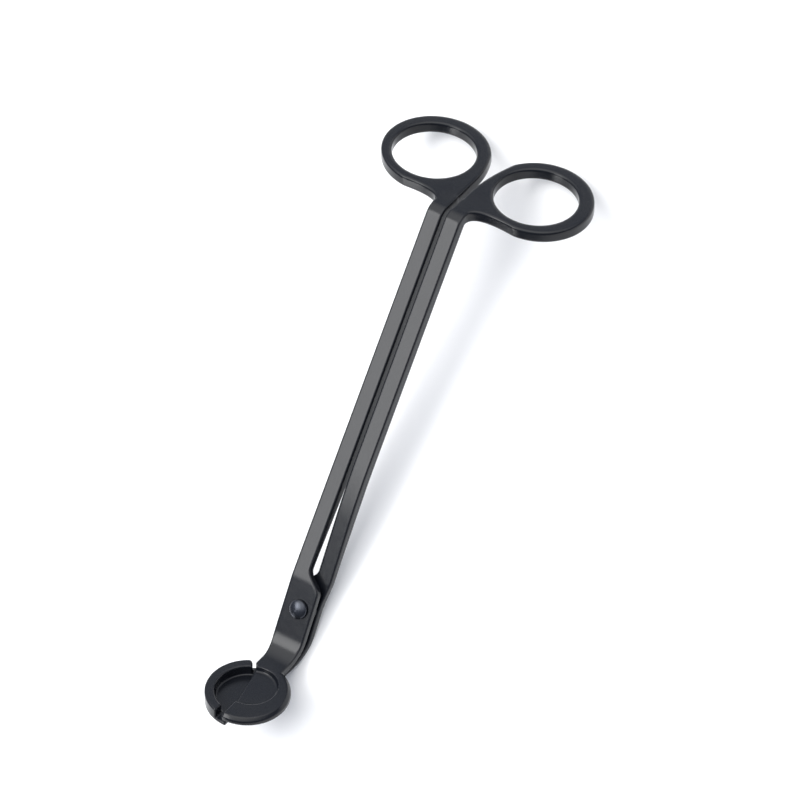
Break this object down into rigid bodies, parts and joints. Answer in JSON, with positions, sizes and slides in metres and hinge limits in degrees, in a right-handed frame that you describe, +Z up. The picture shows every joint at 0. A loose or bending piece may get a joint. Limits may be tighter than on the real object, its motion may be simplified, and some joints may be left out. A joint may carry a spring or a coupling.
{
  "type": "wick trimmer",
  "caption": "Black steel candle wick trimmer: two long cranked levers on a rivet, oval finger rings, round cutting head with a rim that catches the trimmings.",
  "frame": {"origin": "middle of the footprint, on the surface that the closed tool lies on: it rests on the rivet tail and the far ends of the two finger rings", "axes": "+Y along the tool from the cutting head to the finger rings, +Z up, +X to the right seen from the head side with the domed rivet head up"},
  "size_m": [0.0662, 0.1794, 0.027],
  "materials": {
    "black_coat_upper": "satin black coating on forged steel, with fine grain",
    "black_coat_lower": "satin black coating on forged steel, with fine grain",
    "rivet_coat": "glossier black coating on a domed steel rivet",
    "washer_steel": "dark oiled steel"
  },
  "bodies": {
    "lower_lever": {"lower_lever": "black_coat_lower", "pivot_rivet": "rivet_coat", "spacer_washer": "washer_steel"},
    "upper_lever": {"upper_lever": "black_coat_upper"}
  },
  "joints": [
    {"name": "pivot", "type": "hinge", "parent": "lower_lever", "child": "upper_lever", "pos_m": [-0.00055, -0.0526, 0.00786], "axis": [0, -0.2664, 0.9639], "range_deg": [0, 30]}
  ]
}
